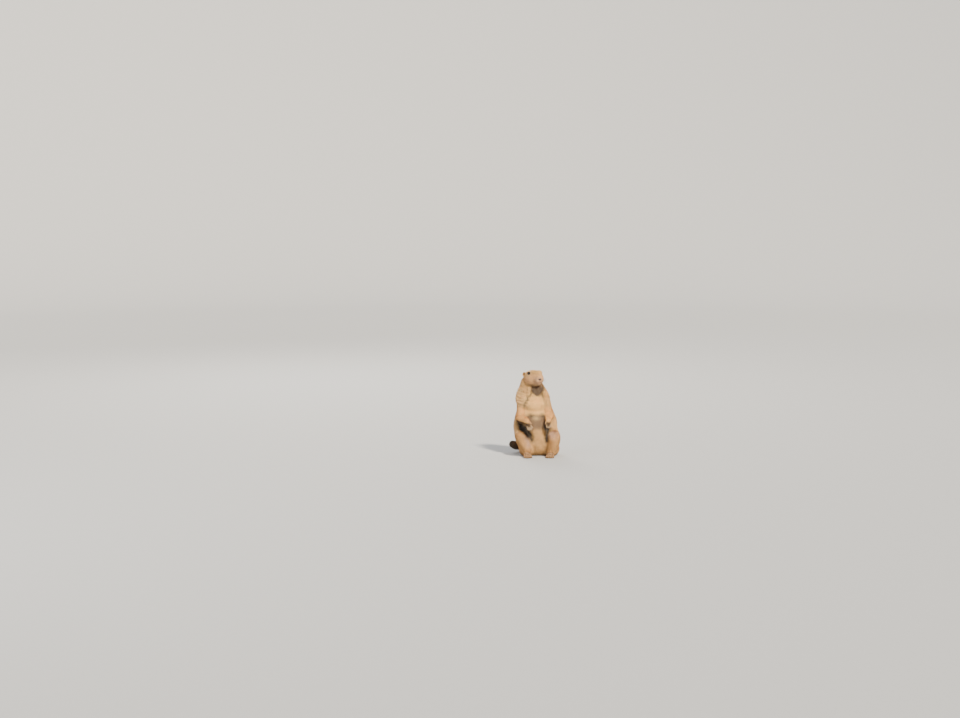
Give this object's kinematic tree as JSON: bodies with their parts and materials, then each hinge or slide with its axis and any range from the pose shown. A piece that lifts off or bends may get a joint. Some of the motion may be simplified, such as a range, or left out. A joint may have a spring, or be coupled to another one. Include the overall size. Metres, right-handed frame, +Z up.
{
  "type": "prairie dog",
  "caption": "Life-size still model of a fat prairie dog sitting upright on its haunches, forepaws hanging, head turned to its left, short black-tipped tail curled to its right.",
  "frame": {"origin": "on the ground under the body, on the flat that the rump rests on", "axes": "+Z up, the body faces -Y, +X is the animal's left"},
  "size_m": [0.1653, 0.1606, 0.278],
  "materials": {
    "fur_head": "short close fur, buff with ochre cheeks",
    "fur_chest": "dense fur, pale buff",
    "fur_belly": "dense fur, cream to pinkish buff",
    "fur_leg": "short fur, reddish tan",
    "fur_tail": "fur, brownish buff",
    "fur_black": "long black hair of the tail's tip",
    "paw": "thin pale fur on fingers and toes, with dark claws",
    "nose": "bare moist skin",
    "eye": "wet, dark and shiny"
  },
  "bodies": {
    "root": {"head": "fur_head", "nose": "nose", "eye_right": "eye", "eye_left": "eye", "ear_right": "fur_leg", "ear_left": "fur_leg", "neck": "fur_head", "chest": "fur_chest", "abdomen": "fur_belly", "upper_arm_right": "fur_chest", "forearm_right": "fur_leg", "hand_right": "paw", "thigh_right": "fur_leg", "foot_right": "paw", "upper_arm_left": "fur_chest", "forearm_left": "fur_leg", "hand_left": "paw", "thigh_left": "fur_leg", "foot_left": "paw", "tail_base": "fur_tail", "tail_brush": "fur_black"}
  },
  "joints": []
}
